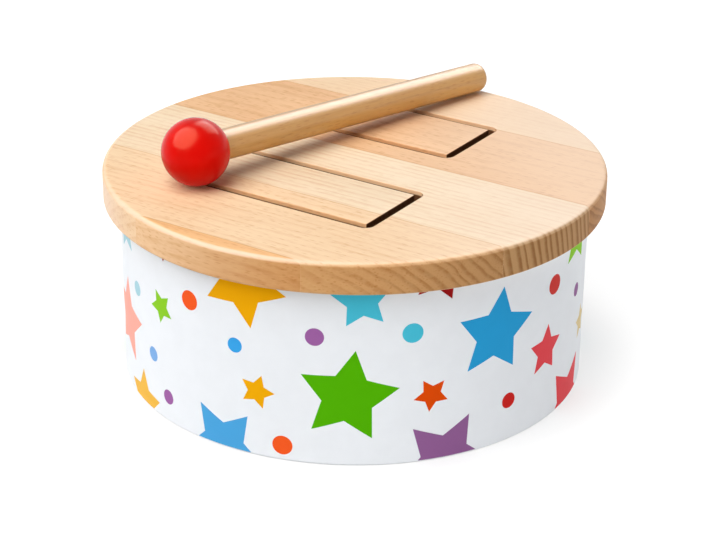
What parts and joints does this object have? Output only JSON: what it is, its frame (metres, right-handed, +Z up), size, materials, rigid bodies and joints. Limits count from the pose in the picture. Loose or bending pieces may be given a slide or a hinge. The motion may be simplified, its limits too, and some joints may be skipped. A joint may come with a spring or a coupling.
{
  "type": "toy tongue drum with mallet",
  "caption": "Round toy tongue drum: an edge-glued beech soundboard with routed tongues on a white printed plywood shell, and a ball-ended wooden mallet that lifts off it.",
  "frame": {"origin": "centre of the shell's foot, on the surface that the drum stands on", "axes": "+Z up out of the soundboard; +X along the grain and the tongues, towards their free ends; +Y towards the rear tongue"},
  "size_m": [0.196, 0.196, 0.1107],
  "materials": {
    "white_lacquer": "satin white lacquer with a printed pattern of stars and dots",
    "birch_ply": "raw plywood",
    "beech_pale": "clear satin lacquer",
    "beech_warm": "clear satin lacquer",
    "beech_brown": "clear satin lacquer",
    "beech_dowel": "clear satin lacquer",
    "red_lacquer": "gloss red lacquer",
    "zinc_steel": "zinc plated"
  },
  "bodies": {
    "drum": {"shell_hoop": "white_lacquer", "head_ring": "birch_ply", "base_ring": "birch_ply", "base_panel": "birch_ply", "soundboard_stave_1": "beech_pale", "soundboard_stave_2": "beech_brown", "soundboard_stave_3": "beech_pale", "soundboard_stave_4": "beech_warm", "soundboard_stave_5": "beech_brown", "head_screw_1": "zinc_steel", "head_screw_2": "zinc_steel", "head_screw_3": "zinc_steel", "head_screw_4": "zinc_steel", "head_screw_5": "zinc_steel", "head_screw_6": "zinc_steel", "base_screw_1": "zinc_steel", "base_screw_2": "zinc_steel", "base_screw_3": "zinc_steel", "base_screw_4": "zinc_steel", "base_screw_5": "zinc_steel", "base_screw_6": "zinc_steel"},
    "front_tongue": {"front_tongue_stave_3": "beech_pale", "front_tongue_stave_4": "beech_warm"},
    "rear_tongue": {"rear_tongue_stave_2": "beech_brown"},
    "mallet": {"mallet_handle": "beech_dowel", "mallet_head": "red_lacquer"}
  },
  "joints": [
    {"name": "front_tongue_flex", "type": "hinge", "parent": "drum", "child": "front_tongue", "pos_m": [-0.0396, -0.0346, 0.0782], "axis": [0, 1, 0], "range_deg": [-0.3, 0.3], "stiffness_Nm_per_rad": 1830},
    {"name": "rear_tongue_flex", "type": "hinge", "parent": "drum", "child": "rear_tongue", "pos_m": [-0.0396, 0.0408, 0.0782], "axis": [0, 1, 0], "range_deg": [-0.3, 0.3], "stiffness_Nm_per_rad": 2140},
    {"name": "mallet_lift", "type": "slide", "parent": "drum", "child": "mallet", "axis": [0, 0, 1], "range_m": [0, 0.12]}
  ]
}
